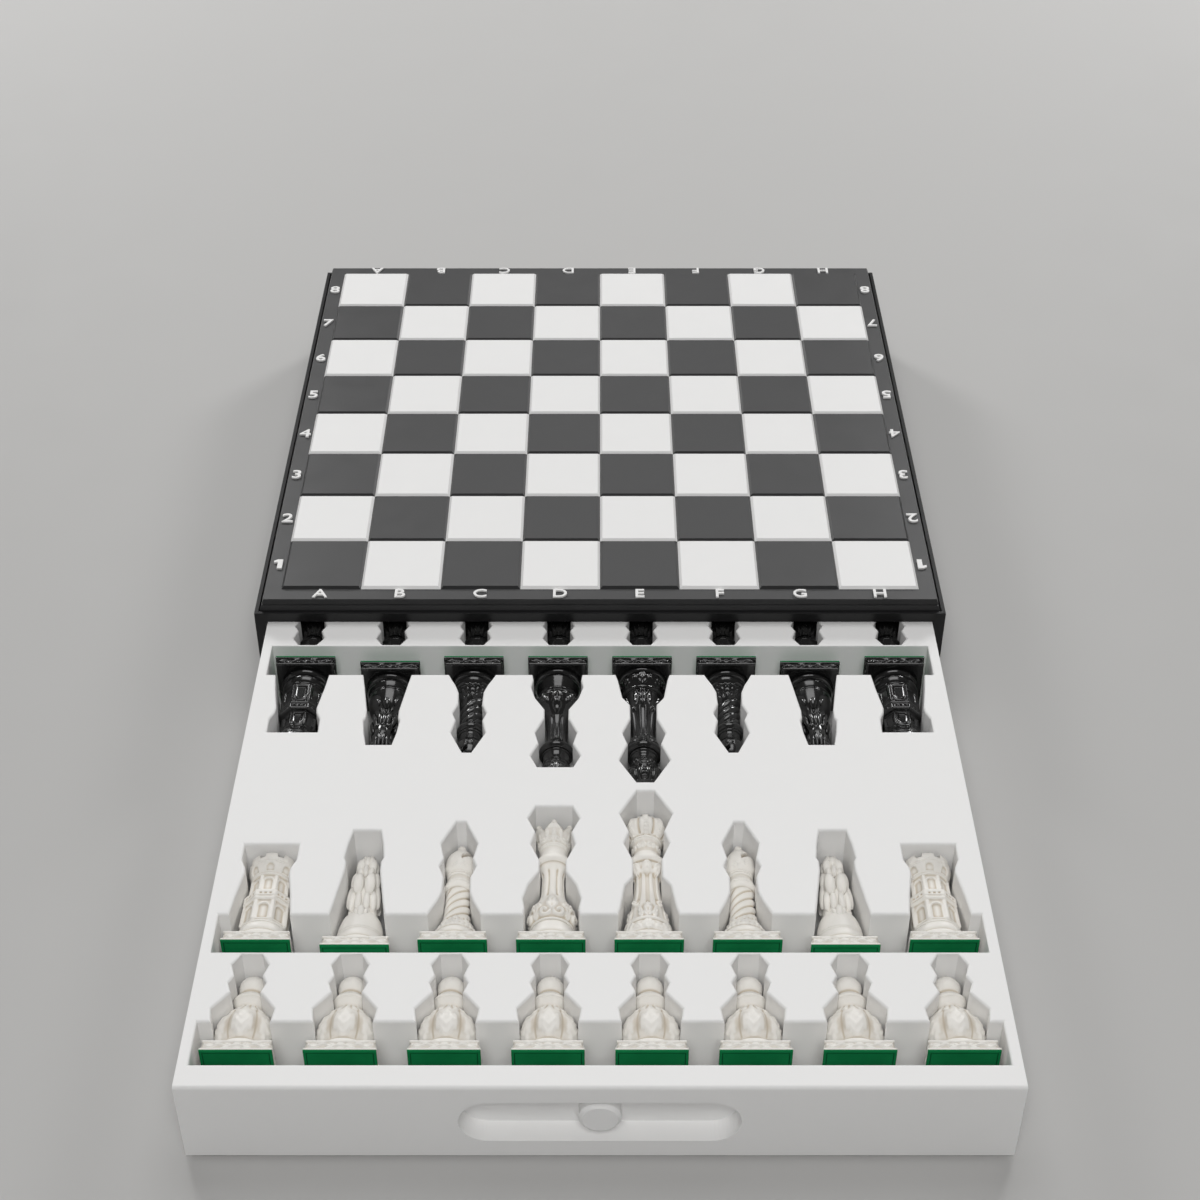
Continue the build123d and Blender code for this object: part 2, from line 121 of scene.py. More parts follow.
def new_material(name):
    """Node material with a Principled shader and object coordinates."""
    mat = bpy.data.materials.new(name)
    mat.use_nodes = True
    nodes, links = mat.node_tree.nodes, mat.node_tree.links
    return mat, nodes, links, nodes["Principled BSDF"], nodes.new("ShaderNodeTexCoord").outputs["Object"]


def noise(nodes, links, place, scale, detail=3.0):
    """Noise of the given scale on the given coordinates."""
    node = nodes.new("ShaderNodeTexNoise")
    node.inputs["Scale"].default_value = scale
    node.inputs["Detail"].default_value = detail
    links.new(place, node.inputs["Vector"])
    return node.outputs["Fac"]


def mixed(nodes, links, factor, low, high):
    """Colour between two colours by a factor."""
    node = nodes.new("ShaderNodeMix")
    node.data_type = "RGBA"
    links.new(factor, node.inputs["Factor"])
    for name, value in (("A", low), ("B", high)):
        if isinstance(value, tuple):
            node.inputs[name].default_value = (*value, 1)
        else:
            links.new(value, node.inputs[name])
    return node.outputs["Result"]


def ranged(nodes, links, value, low, high, start=0.0, end=1.0):
    """Value taken from one range to another."""
    node = nodes.new("ShaderNodeMapRange")
    node.inputs["From Min"].default_value = start
    node.inputs["From Max"].default_value = end
    node.inputs["To Min"].default_value = low
    node.inputs["To Max"].default_value = high
    links.new(value, node.inputs["Value"])
    return node.outputs["Result"]


def finish_surface(name, colour, spread, grain, rough, bump, painted_shade=None, shine=0.5):
    """Moulded or painted surface: broad noise in colour and gloss, fine noise in the bump, and a darker
    colour painted as shade in the hollows, where the mesh carries that attribute."""
    mat, nodes, links, shader, place = new_material(name)
    broad = noise(nodes, links, place, grain * 0.08, 4.0)
    fine = noise(nodes, links, place, grain)
    low = tuple(c * (1 - spread) for c in colour)
    high = tuple(min(1.0, c * (1 + spread)) for c in colour)
    tint = mixed(nodes, links, broad, low, high)
    if painted_shade:
        # Painted shade: the depth of the hollows mixes in a darker colour that stands in for the shade there
        depth = nodes.new("ShaderNodeAttribute")
        depth.attribute_name = "painted_shade"
        tint = mixed(nodes, links, depth.outputs["Fac"], tint, painted_shade)
    links.new(tint, shader.inputs["Base Color"])
    links.new(ranged(nodes, links, broad, rough - 0.07, rough + 0.07), shader.inputs["Roughness"])
    relief = nodes.new("ShaderNodeBump")
    relief.inputs["Strength"].default_value = bump
    relief.inputs["Distance"].default_value = 0.2 * MM
    links.new(fine, relief.inputs["Height"])
    links.new(relief.outputs["Normal"], shader.inputs["Normal"])
    shader.inputs["Specular IOR Level"].default_value = shine
    return mat


# Surfaces: (points, corner indices, corners per face, depth of the painted shade in the hollows)

def surface(points, painted_shade=None):
    """Closed tube from rows of points: each row is a ring joined to the next, with flat end faces."""
    rows, columns = points.shape[:2]
    index = np.arange(rows * columns).reshape(rows, columns)
    there = np.roll(index, -1, axis=1)
    quads = np.stack([index[:-1], there[:-1], there[1:], index[1:]], axis=-1).reshape(-1, 4)
    corners = np.concatenate([quads.ravel(), index[0, ::-1], index[-1]])
    sizes = np.concatenate([np.full(len(quads), 4), [columns, columns]])
    depth = np.zeros(rows * columns) if painted_shade is None else painted_shade.ravel()
    return points.reshape(-1, 3), corners, sizes, depth


def joined(parts):
    """Several surfaces as one."""
    starts = np.cumsum([0] + [len(part[0]) for part in parts[:-1]])
    corners = [part[1] + start for part, start in zip(parts, starts)]
    return (np.concatenate([part[0] for part in parts]), np.concatenate(corners),
            np.concatenate([part[2] for part in parts]), np.concatenate([part[3] for part in parts]))


def mesh_piece(name, part, material, body, smooth=True):
    """Object from a surface in metres, with its material, riding on a body."""
    points, corners, sizes, painted_shade = part
    mesh = bpy.data.meshes.new(name)
    mesh.vertices.add(len(points))
    mesh.vertices.foreach_set("co", points.astype(np.float32).ravel())
    mesh.loops.add(len(corners))
    mesh.loops.foreach_set("vertex_index", corners.astype(np.int32))
    mesh.polygons.add(len(sizes))
    mesh.polygons.foreach_set("loop_start", np.concatenate([[0], np.cumsum(sizes)[:-1]]).astype(np.int32))
    mesh.update(calc_edges=True)
    mesh.polygons.foreach_set("use_smooth", (sizes == 4) & smooth)
    depth = mesh.attributes.new("painted_shade", "FLOAT", "POINT")
    depth.data.foreach_set("value", painted_shade.astype(np.float32))
    mesh.materials.append(material)
    obj = bpy.data.objects.new(name, mesh)
    bpy.context.collection.objects.link(obj)
    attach(obj, body)
    return obj


def run(*points, step=0.35):
    """Smooth curve through (height, radius) points, as cubic pieces with the mean slope at each point."""
    knots = np.array(points, float)
    along = np.concatenate([[0], np.cumsum(np.linalg.norm(np.diff(knots, axis=0), axis=1))])
    slope = np.gradient(knots, along, axis=0)
    s = np.linspace(0, along[-1], max(3, math.ceil(along[-1] / step)))
    k = np.clip(np.searchsorted(along, s, side="right") - 1, 0, len(along) - 2)
    gap = (along[k + 1] - along[k])[:, None]
    t = ((s - along[k])[:, None]) / gap
    return ((2 * t**3 - 3 * t**2 + 1) * knots[k] + (t**3 - 2 * t**2 + t) * gap * slope[k]
            + (3 * t**2 - 2 * t**3) * knots[k + 1] + (t**3 - t**2) * gap * slope[k + 1])


def bead(low, high, radius, bulge, steps=11):
    """Half-round moulding between two heights: a half ellipse of that bulge on the radius."""
    turn = np.linspace(-math.pi / 2, math.pi / 2, steps)
    middle, half = (low + high) / 2, (high - low) / 2
    return np.stack([middle + half * np.sin(turn), radius + bulge * np.cos(turn)], axis=1)


def arc(centre, radius, start, end, steps=22):
    """Part of a ball's outline between two latitudes in degrees."""
    turn = np.radians(np.linspace(start, end, steps))
    return np.stack([centre + radius * np.sin(turn), np.maximum(radius * np.cos(turn), 0.02)], axis=1)


def fold(angle, count, first=-90.0):
    """Angle from the nearest of evenly spaced directions."""
    share = 2 * math.pi / count
    return (angle - math.radians(first) + share / 2) % share - share / 2


def ease(value):
    """Smooth step from 0 to 1."""
    value = np.clip(value, 0, 1)
    return value * value * (3 - 2 * value)


def band(value, low, high, soft=0.6):
    """1 between two values and 0 outside, with soft ends."""
    return ease((value - low) / soft + 0.5) * ease((high - value) / soft + 0.5)


def leaf(across, along, half, veins=3.0):
    """Relief of a pointed leaf: along runs 0 to 1 from foot to tip, across in millimetres; side veins and a
    grooved middle rib."""
    width = half * np.sin(math.pi * np.clip(along, 0, 1) ** 0.75) ** 0.7 + 1e-3
    inside = ease(1.6 - 1.6 * np.abs(across) / width) * (along > 0) * (along < 1)
    ribs = 0.75 + 0.25 * np.cos(2 * math.pi * veins * (along - 0.45 * np.abs(across) / half))
    rib = 1 - 0.45 * np.exp(-(across / 0.28) ** 2)
    return inside * ribs * rib


def volute(across, up, size, hand=1.0):
    """Relief of a spiral scroll: height follows the cosine of the angle plus turns of the distance."""
    far = np.hypot(across, up) / size
    turn = np.arctan2(up, across * hand)
    return ease(1.5 - 1.4 * far) * (0.58 + 0.42 * np.cos(turn - 7.0 * far))


def niche(across, height, half, low, spring):
    """1 inside an arched opening, 0 outside: a straight lower part and a half-round head."""
    side = np.abs(across) - half
    head = np.hypot(across, height - spring) - half
    edge = np.maximum(np.where(height > spring, head, side), low - height)
    return ease(0.5 - edge / 0.35)


def painted_shade_depth(reach):
    """How far each point lies below the mean of its neighbours, from 0 to 1: how strongly shade is painted
    into that recess.
    """
    mean = sum(np.roll(reach, shift, axis=1) for shift in range(-5, 6)) / 11
    padded = np.pad(mean, ((5, 5), (0, 0)), mode="edge")
    mean = sum(padded[shift:shift + len(reach)] for shift in range(11)) / 11
    return np.clip((mean - reach - 0.05) / 0.35, 0, 1)


def lathe(profile, relief=None, around=144, rim=None):
    """Turned surface: at each height the radius of the profile plus relief(height, angle, radius); the height
    is held below rim(angle)."""
    keep = np.concatenate([[True], np.linalg.norm(np.diff(profile, axis=0), axis=1) > 1e-6])
    height, radius = profile[keep, :1], profile[keep, 1:]
    angle = np.linspace(0, 2 * math.pi, around, endpoint=False)[None]
    reach = radius + 0 * angle
    if relief:
        reach = np.maximum(reach + relief(height, angle, radius), 0.02)
    level = height + 0 * angle
    if rim:
        level = np.minimum(level, rim(angle))
    points = np.stack([reach * np.cos(angle), reach * np.sin(angle), level], axis=-1)
    # The depth below the neighbours sets the painted shade in the recesses of the relief
    return surface(points, painted_shade_depth(reach))


def tube(path, across, thick, around=20):
    """Tube along a path: ellipses square to the path, with half width across x and half thickness."""
    path = np.array(path, float)
    along = np.gradient(path, axis=0)
    along /= np.linalg.norm(along, axis=1)[:, None]
    side = np.array([1.0, 0.0, 0.0]) - along * along[:, :1]
    side /= np.linalg.norm(side, axis=1)[:, None]
    up = np.cross(along, side)
    turn = np.linspace(0, 2 * math.pi, around, endpoint=False)[None, :, None]
    across, thick = np.array(across)[:, None, None], np.array(thick)[:, None, None]
    return surface(path[:, None] + np.cos(turn) * across * side[:, None] + np.sin(turn) * thick * up[:, None])


def lock(start, end, half, thick, bulge=0.0, steps=13):
    """Drop-shaped lock of hair between two points, half wide at its thickest, arched outwards by bulge."""
    s = np.linspace(0, 1, steps)[:, None]
    path = np.array(start) + s * (np.array(end) - np.array(start))
    path[:, 1:2] += bulge * np.sin(math.pi * s)
    swell = np.sqrt(np.maximum(np.sin(math.pi * (0.02 + 0.96 * s[:, 0] ** 0.85)), 0.0))
    return tube(path, half * swell + 0.02, thick * swell + 0.02, 14)


def ball(centre, radius, rows=13, around=20):
    """Small ball."""
    part = lathe(arc(0.0, radius, -89, 89, rows), around=around)
    return part[0] + np.array(centre), part[1], part[2], 0 * part[3]


def square_turned(profile, relief=None, side=48):
    """Square form: at each (height, half width) a square ring, its sides pushed out by the relief at
    (height, across)."""
    s = np.linspace(-1, 1, side, endpoint=False)
    one, zero = np.ones(side), np.zeros(side)
    ring = np.stack([np.concatenate([one, -s, -one, s]), np.concatenate([s, one, -s, -one])], axis=1)
    face = np.stack([np.concatenate([one, zero, -one, zero]),
                     np.concatenate([zero, one, zero, -one])], axis=1)
    height, half = profile[:, :1], profile[:, 1:]
    out = relief(height, np.tile(s, 4)[None] * half) if relief else np.zeros((len(profile), 4 * side))
    flat = ring[None] * half[:, :, None] + face[None] * out[:, :, None]
    points = np.concatenate([flat, np.broadcast_to(height[:, :, None], (*flat.shape[:2], 1))], axis=2)
    # Painted shade in the recesses of the scroll band, where the relief stays low
    return surface(points, np.clip((0.12 - out) / 0.3, 0, 1) * band(height, -3.5, -1.1) if relief else None)


# Men, standing with the top of the plinth at height zero, in millimetres

def flared(part):
    """Foot widened a little across the drawer towards its underside."""
    points = part[0].copy()
    points[:, 0] *= 1 + FOOT_FLARE * np.clip(-points[:, 2] / PLINTH_HEIGHT, 0, 1)
    return (points, *part[1:])


def plinth():
    """Square foot: a lower and an upper lip, and between them scrolls running out from a small flower."""
    profile = np.concatenate([
        run((-PLINTH_HEIGHT, 12.3), (-4.5, 12.45), (-4.3, PLINTH_HALF), (-3.95, 12.48), (-3.75, 12.3),
            step=0.12),
        run((-3.7, 12.1), (-3.55, 11.8), (-2.4, 11.75), (-1.2, 11.7), (-1.0, 11.9), step=0.16),
        run((-0.95, 12.1), (-0.75, 12.2), (-0.4, 12.15), (-0.12, 11.95), (0.0, 11.6), step=0.12)])

    def scrolls(height, across):
        out = np.abs(across)
        up = height + 2.35
        stems = np.exp(-((up - 0.75 * np.cos(out * 1.05)) / 0.42) ** 2)
        leaves = leaf(up + 1.5, (out - 2.2) / 3.4, 1.5, 0.0) + leaf(up - 1.5, (out - 5.2) / 3.4, 1.5, 0.0)
        curls = volute(out - 3.0, up - 0.3, 1.5) + volute(out - 9.4, up, 1.7, -1.0)
        flower = ease(1.5 - np.hypot(out, up) / 1.3) * (0.75 + 0.25 * np.cos(6 * np.arctan2(up, out)))
        inside = band(out, -1, 11.2) * band(height, -3.7, -1.0, 0.35)
        return 0.7 * np.minimum(1, stems + leaves + curls + flower) * inside

    return flared(square_turned(profile, scrolls, 44))


def felt():
    """Thin pad under the plinth, with a pressed line inside its edge."""
    low, high = -PLINTH_HEIGHT - FELT_THICK, -PLINTH_HEIGHT
    pressed = low + 0.15
    edge = np.array([(low, 0.05), (low, 10.9), (low, 11.1), (pressed, 11.15), (pressed, 11.45), (low, 11.5),
                     (low, 12.15), (low + 0.1, 12.35), (low + 0.3, 12.4), (high, 12.4)])
    points, corners, sizes, depth = flared(square_turned(edge, side=8))
    # The pressed line carries full painted shade: a darker colour standing in for the shade in that groove
    return points, corners, sizes, 1.0 * (np.abs(points[:, 2] - pressed) < 0.01)


def pawn():
    """Pawn: foot ring, bulb of six panels with a leaf on each, ribbed neck, collar and ball."""
    profile = np.concatenate([
        bead(0.0, 3.6, 8.4, 1.4),
        run((3.6, 8.7), (5.6, 9.7), (9.2, 10.35), (13.2, 10.0), (16.8, 8.5), (19.4, 6.6), (20.8, 5.3)),
        run((20.8, 5.2), (21.6, 4.7), (22.4, 4.8), (23.4, 5.4), (24.4, 6.0), step=0.2),
        bead(24.5, 25.0, 6.0, 0.3, 7),
        run((25.1, 6.2), (25.6, 6.45), (26.5, 6.1), (27.6, 5.2), (28.4, 4.4), (28.7, 3.9), step=0.25),
        arc(32.4, 5.15, -44, 89.6)])

    def relief(height, angle, radius):
        across = fold(angle, 6) * radius
        bulb = band(height, 4.2, 17.8, 1.2)
        grooves = -0.3 * np.exp(-(fold(angle, 6, -60.0) * radius / 0.26) ** 2)
        grooves = grooves - 0.2 * (1 - np.cos(6 * fold(angle, 6)))
        blade = 0.75 * leaf(across, (height - 4.0) / 13.0, 3.7, 3.5)
        sprays = 0.5 * leaf(np.abs(across) - 2.9, (height - 6.5) / 8.5, 1.5, 2.5)
        head = 0.14 * volute(across - 1.3, height - 33.4, 2.2) * (height > 28.4)
        ribs = 0.8 * (np.abs(np.cos(8 * angle)) ** 0.7 - 0.6) * band(height, 17.6, 21.6, 1.0)
        return bulb * (grooves + blade + sprays) + head + ribs

    return joined([plinth(), lathe(profile, relief, 102)])


def rook():
    """Rook: round base, octagonal storey with niches, gallery, second storey, flared drum with merlons."""
    profile = np.concatenate([
        bead(0.0, 3.6, 8.9, 1.6), run((3.6, 9.1), (4.2, 9.7), (5.6, 9.8), (7.0, 9.4), (7.6, 9.0), step=0.25),
        bead(7.6, 8.6, 8.8, 0.45, 7), run((8.7, 9.0), (12.0, 8.9), (19.0, 8.7), step=0.25),
        run((19.1, 8.9), (19.6, 9.3), (20.2, 9.45), step=0.2), run((20.3, 9.4), (23.4, 9.4), step=0.2),
        run((23.5, 9.4), (24.0, 9.2), (24.5, 8.0), step=0.2),
        run((24.6, 7.5), (28.0, 7.35), (33.0, 7.35), step=0.25),
        bead(33.0, 34.0, 7.4, 0.5, 7), run((34.1, 7.7), (35.6, 8.6), (38.0, 9.2), step=0.2),
        bead(38.1, 38.9, 9.1, 0.25, 7), run((39.0, 9.15), (42.5, 9.35), step=0.25),
        run((42.5, 9.3), (42.5, 7.0)),
        run((42.45, 6.95), (39.8, 6.9), step=0.3), run((39.8, 6.8), (39.8, 0.03), step=0.8)])

    def relief(height, angle, radius):
        near = fold(angle, 8)
        outside = (radius > 7.2) * (height < 41.0)
        octagon = radius * (0.945 / np.cos(near) - 1) * band(height, 8.8, 33.0, 0.3)
        across = radius * np.tan(near)
        posts = 0.5 * band(np.abs(near), math.radians(17.5), 1, 0.05)
        posts = posts * (band(height, 9.3, 18.9, 0.3) + band(height, 25.2, 32.6, 0.3))
        arches = -0.65 * niche(across, height, 2.1, 10.0, 15.2) - 0.6 * niche(across, height, 1.7, 25.7, 29.8)
        frames = 0.3 * niche(across, height, 2.6, 9.4, 15.3) + 0.28 * niche(across, height, 2.15, 25.2, 29.9)
        holes = band(np.abs((across + 1.0) % 2.0 - 1.0), -1, 0.5, 0.12) * band(np.abs(across), -1, 2.8, 0.1)
        holes = -0.6 * holes * band(height, 21.8, 22.6, 0.2) - 0.25 * band(height, 20.6, 21.2, 0.2)
        windows = -0.55 * niche(across, height, 1.6, 34.7, 36.2)
        curls = 0.3 * volute(fold(angle, 16) * radius, (height - 40.0) * 1.3, 1.7) * (height > 38.9)
        return outside * (octagon + posts + arches + frames + holes + windows + curls)

    def rim(angle):
        return np.where(np.abs(fold(angle, 8)) * 8.2 < 2.05, 42.5, 40.9)

    return joined([plinth(), lathe(profile, relief, 160, rim)])


def bishop():
    """Bishop: round base, beaded ring, leaves below a twisted column, collar, slit mitre and ball."""
    profile = np.concatenate([
        bead(0.0, 3.2, 8.1, 1.6), run((3.2, 8.3), (3.9, 8.9), (5.6, 8.7), (6.8, 7.9)),
        bead(6.8, 8.4, 7.5, 0.8), run((8.4, 7.4), (10.0, 6.7), (12.0, 5.8), (14.2, 5.2), (16.6, 4.8)),
        run((16.7, 4.75), (22.0, 4.55), (27.0, 4.4)), run((27.1, 4.4), (28.0, 4.6), (28.8, 4.9)),
        bead(28.8, 32.4, 4.8, 1.25), bead(32.4, 33.8, 4.7, 0.55),
        run((33.8, 4.6), (35.0, 4.4), (36.0, 4.4)),
        bead(36.0, 37.2, 4.4, 0.5), bead(37.2, 38.0, 4.7, 0.35, 7),
        run((38.0, 4.9), (39.4, 5.5), (41.5, 5.95), (44.2, 6.0), (47.0, 5.2), (49.6, 3.6), (51.2, 2.2),
            (51.6, 1.5), step=0.2),
        arc(53.0, 1.6, -62, 89.6, 14)])

    def relief(height, angle, radius):
        beads = 0.35 * band(height, 6.9, 8.3, 0.4) * (np.abs(np.cos(13 * angle)) - 0.6)
        fan = 0.7 * leaf(fold(angle, 8) * radius, (height - 8.2) / 5.4, 2.2)
        fan = fan + 0.5 * leaf(fold(angle, 8, -67.5) * radius, (height - 8.6) / 4.6, 1.3)
        turns = np.abs(np.cos(2.0 * (angle - 0.4 * height) + 0.6))
        strands = (1.0 * turns ** 0.6 - 0.6) * band(height, 12.2, 28.4, 1.8)
        side = fold(angle, 4) * radius
        curls = volute(side - 2.0, height - 40.6, 1.7) + volute(side + 2.0, height - 40.6, 1.7, -1.0)
        x = radius * np.cos(angle)
        slit = np.abs((height - 46.2) * 0.8 - (x - 3.2) * 0.6)
        slit = -0.55 * radius * band(slit, -1, 0.95, 0.2) * ease((x - 0.6) / 0.3) * band(height, 42.0, 51.0)
        return beads + fan + strands + 0.4 * curls * (height < 46) + slit

    return joined([plinth(), lathe(profile, relief, 144)])


def queen():
    """Queen: round base, dome, volutes with leaves, fluted column, collar, coronet with ball tips."""
    profile = np.concatenate([
        bead(0.0, 2.8, 8.9, 1.5), run((2.8, 9.2), (3.6, 9.6), (5.6, 9.3), (8.0, 8.5), (9.4, 8.0)),
        bead(9.4, 10.6, 7.9, 0.55, 7),
        run((10.6, 7.9), (12.4, 8.3), (15.5, 8.5), (18.5, 8.0), (21.6, 6.7), (25.0, 5.2), (28.2, 4.6)),
        run((28.3, 4.55), (32.0, 4.35), (36.2, 4.3)), run((36.3, 4.3), (38.5, 4.7), (40.4, 5.4), (41.4, 5.8)),
        bead(41.5, 45.2, 5.9, 1.5), bead(45.2, 46.4, 5.7, 0.45), run((46.4, 5.6), (48.5, 5.3), (50.3, 5.3)),
        bead(50.3, 51.3, 5.3, 0.35, 7),
        run((51.3, 5.5), (53.5, 6.0), (57.0, 6.6), (60.0, 7.15), (61.6, 7.5), step=0.25),
        run((61.6, 7.5), (61.6, 6.4)), run((61.5, 6.3), (58.0, 5.6), (56.8, 4.0), (56.6, 0.03))])

    def relief(height, angle, radius):
        four = fold(angle, 4) * radius
        out = np.abs(four)
        eyes = 1.3 * volute(out - 2.8, height - 13.8, 3.1, -1.0)
        horns = 1.0 * volute(out - 5.6, height - 17.4, 2.2)
        blade = 0.9 * leaf(four, (height - 14.0) / 10.0, 2.7, 2.5)
        sprays = 0.6 * leaf(fold(angle, 4, -45) * radius, (height - 10.6) / 9.0, 2.0, 3.0)
        flutes = -0.6 * band(height, 24.6, 38.8, 1.6) * np.exp(-(fold(angle, 8, -67.5) * radius / 0.55) ** 2)
        lacing = volute(out - 1.5, height - 54.2, 1.7) + volute(out - 4.4, height - 54.2, 1.7, -1.0)
        lacing = lacing + leaf(four, (height - 52.0) / 7.0, 1.3) + leaf(out - 3.0, (height - 55.0) / 4.0, 1.0)
        lacing = 0.55 * (np.minimum(1, lacing) - 0.4) * band(height, 52.0, 59.0) * (radius > 5.7)
        return eyes + horns + blade + sprays + flutes + lacing

    def rim(angle):
        return 61.4 - 3.9 * (1 - np.abs(np.cos(3 * (angle + math.pi / 2))) ** 1.1)

    turn = np.radians(-90 + 60 * np.arange(6))
    tips = [ball((6.9 * math.cos(t), 6.9 * math.sin(t), 61.65), 1.1) for t in turn]
    return joined([plinth(), lathe(profile, relief, 144, rim)] + tips)


def cross():
    """Cross with splayed arms, cut from a plate with softened edges."""
    low, high, thick, wide, waist, tip = 66.4, 72.1, 1.2, 3.2, 0.8, 1.5
    mid = 69.4
    right = [(1.3, low), (waist, mid - waist), (wide, mid - tip),
             (wide, mid + tip), (waist, mid + waist), (tip, high)]
    flat = np.array(right + [(-x, z) for x, z in reversed(right)])
    rows = [np.stack([flat[:, 0] * share, np.full(len(flat), y), mid + (flat[:, 1] - mid) * share], axis=1)
            for y, share in ((thick, 0.9), (thick - 0.25, 1.0), (0.25 - thick, 1.0), (-thick, 0.9))]
    return surface(np.array(rows))


def king():
    """King: leaf-carved dome, ring, leaves, panelled column, capital, collar, cup, arched crown and cross."""
    profile = np.concatenate([
        bead(0.0, 2.4, 9.6, 1.4), run((2.4, 9.9), (3.4, 10.3), (5.4, 10.0), (7.6, 9.2), (9.0, 8.6)),
        bead(9.0, 10.8, 8.3, 0.85),
        run((10.8, 7.8), (13.0, 7.3), (17.0, 6.8), (21.4, 6.2), (25.8, 5.5), (31.0, 5.0), (36.0, 4.8)),
        run((36.1, 4.9), (38.4, 5.5), (40.4, 6.0), (41.4, 6.1)),
        bead(41.5, 45.5, 6.0, 1.6), bead(45.5, 46.8, 5.6, 0.5),
        run((46.8, 5.5), (49.0, 5.2), (51.0, 5.3), (54.4, 5.8)), bead(54.5, 55.7, 5.7, 0.5),
        run((55.7, 6.0), (57.4, 7.4), (60.2, 8.6), (62.6, 8.4), (64.8, 7.2), (66.4, 4.8), (67.0, 2.6),
            (67.0, 0.05))])

    def relief(height, angle, radius):
        four = fold(angle, 4) * radius
        out = np.abs(four)
        eight = fold(angle, 8) * radius
        odd = fold(angle, 8, -67.5) * radius
        dome = 0.85 * leaf(four, (8.9 - height) / 6.6, 3.0, 2.5) + 0.7 * volute(out - 3.9, height - 5.2, 2.0)
        dome = dome + 0.8 * leaf(fold(angle, 4, -45) * radius, (8.9 - height) / 6.2, 2.4, 2.5)
        fan = 1.1 * leaf(four, (height - 10.6) / 9.8, 2.4, 3.0)
        fan = fan + 0.95 * leaf(out - 2.5 - 0.1 * (height - 11), (height - 10.8) / 8.0, 1.3)
        knobs = 1.5 * volute(fold(angle, 4, -45) * radius, height - 20.6, 1.9)
        ten = fold(angle, 10) * radius
        panels = -0.6 * band(np.abs(ten), -1, 0.85, 0.25) * band(height, 19.4, 36.4, 1.4)
        capital = 0.7 * leaf(eight, (41.6 - height) / 6.4, 2.2, 2.5) + 0.3 * band(height, 36.6, 41.4, 0.5)
        capital = capital - 0.2 * leaf(odd, (42.0 - height) / 4.4, 1.0)
        scrolls = 0.75 * (volute(np.abs(eight) - 1.2, height - 51.4, 1.7) - 0.3) * band(height, 48.0, 54.2)
        rib = band(np.abs(eight), -1, 0.8, 0.3)
        beads = 0.75 * rib * (0.55 + 0.45 * np.cos(4.4 * height)) * band(height, 55.8, 66.2, 1.0)
        lobes = -0.8 * np.exp(-(odd / 0.6) ** 2) * band(height, 56.4, 65.0, 1.0)
        return dome + fan + knobs + panels + capital + scrolls + beads + lobes

    return joined([plinth(), lathe(profile, relief, 144), cross()])


# Knight's neck: height, half width, back and front; its head: point, half width and half thickness
NECK = [(13.0, 6.6, -6.6, 6.6), (18.0, 6.0, -6.2, 6.3), (23.0, 5.4, -5.9, 5.4), (28.0, 4.8, -5.8, 4.4),
        (33.0, 4.4, -5.8, 4.0), (38.0, 4.3, -5.6, 4.4), (42.0, 4.2, -5.0, 5.0), (45.5, 3.8, -3.9, 5.0),
        (48.0, 2.8, -2.4, 3.4), (49.2, 1.0, -0.6, 1.6)]
FACE = [(0, -0.5, 46.4, 3.2, 2.2), (0, 3.6, 46.6, 3.9, 3.0), (0, 6.0, 44.4, 4.1, 3.3),
        (0, 7.4, 41.0, 3.7, 3.1), (0, 8.2, 37.6, 3.3, 2.6), (0, 8.6, 34.6, 3.4, 2.4),
        (0, 8.5, 32.6, 2.8, 2.0), (0, 8.3, 31.8, 0.8, 0.7)]

# Locks of its mane: start, end, half width, half thickness and arch; the first list is used on both sides
SIDE_LOCKS = [
    ((1.9, 2.6, 45.6), (2.3, 3.2, 51.0), 1.2, 1.1, 0.0),
    ((3.6, 5.6, 41.0), (3.0, 7.0, 35.6), 1.3, 1.3, 0.4),
    ((2.15, -6.0, 26.6), (2.3, -5.9, 37.4), 2.15, 1.8, -0.8),
    ((1.7, -5.8, 18.6), (1.5, -5.6, 28.0), 1.4, 1.4, -0.6),
    ((4.1, -4.6, 19.0), (3.6, -4.4, 29.6), 1.5, 1.5, -0.6),
    ((5.6, -2.4, 22.0), (4.6, -2.6, 34.0), 1.3, 1.5, -0.4),
    ((4.6, -2.4, 32.0), (3.9, -2.4, 40.6), 1.4, 1.6, -0.5),
    ((2.5, -4.4, 38.8), (1.9, -2.8, 47.4), 1.75, 1.5, -1.0),
    ((1.5, -5.4, 35.8), (2.6, -5.0, 41.0), 1.1, 1.2, -0.6),
    ((1.2, -3.4, 43.6), (1.1, -0.9, 50.8), 1.25, 1.3, -0.7),
    ((3.6, -1.8, 40.6), (2.9, -0.2, 47.8), 1.25, 1.2, -0.5),
    ((1.3, -6.4, 14.6), (2.2, -6.2, 18.8), 0.9, 0.9, -0.4),
    ((1.3, 8.0, 31.4), (2.6, 5.8, 19.4), 1.1, 1.2, 1.0),
    ((3.0, 6.6, 31.0), (5.0, 4.2, 20.0), 1.2, 1.2, 1.0),
    ((4.4, 4.6, 33.0), (5.8, 2.0, 23.0), 1.2, 1.2, 0.6),
    ((0.8, 9.6, 47.0), (0.9, 10.3, 37.6), 0.8, 0.9, 0.5),
    ((2.3, 8.8, 47.0), (2.2, 9.4, 38.4), 0.8, 0.9, 0.5),
    ((4.2, 6.2, 12.6), (3.2, 6.2, 17.0), 1.1, 0.9, 0.3),
]
MIDDLE_LOCKS = [
    ((0, -5.8, 35.6), (0, -5.6, 42.0), 1.1, 1.4, -0.7),
    ((0, -4.6, 42.0), (0, -2.4, 49.0), 1.3, 1.4, -0.7),
    ((0, -6.9, 13.4), (0, -6.4, 20.4), 1.5, 1.2, -0.6),
    ((0, 7.0, 12.6), (0, 6.2, 19.0), 1.7, 1.2, 0.5),
    ((0, 8.2, 31.4), (0, 5.8, 20.0), 1.1, 1.2, 0.9),
]


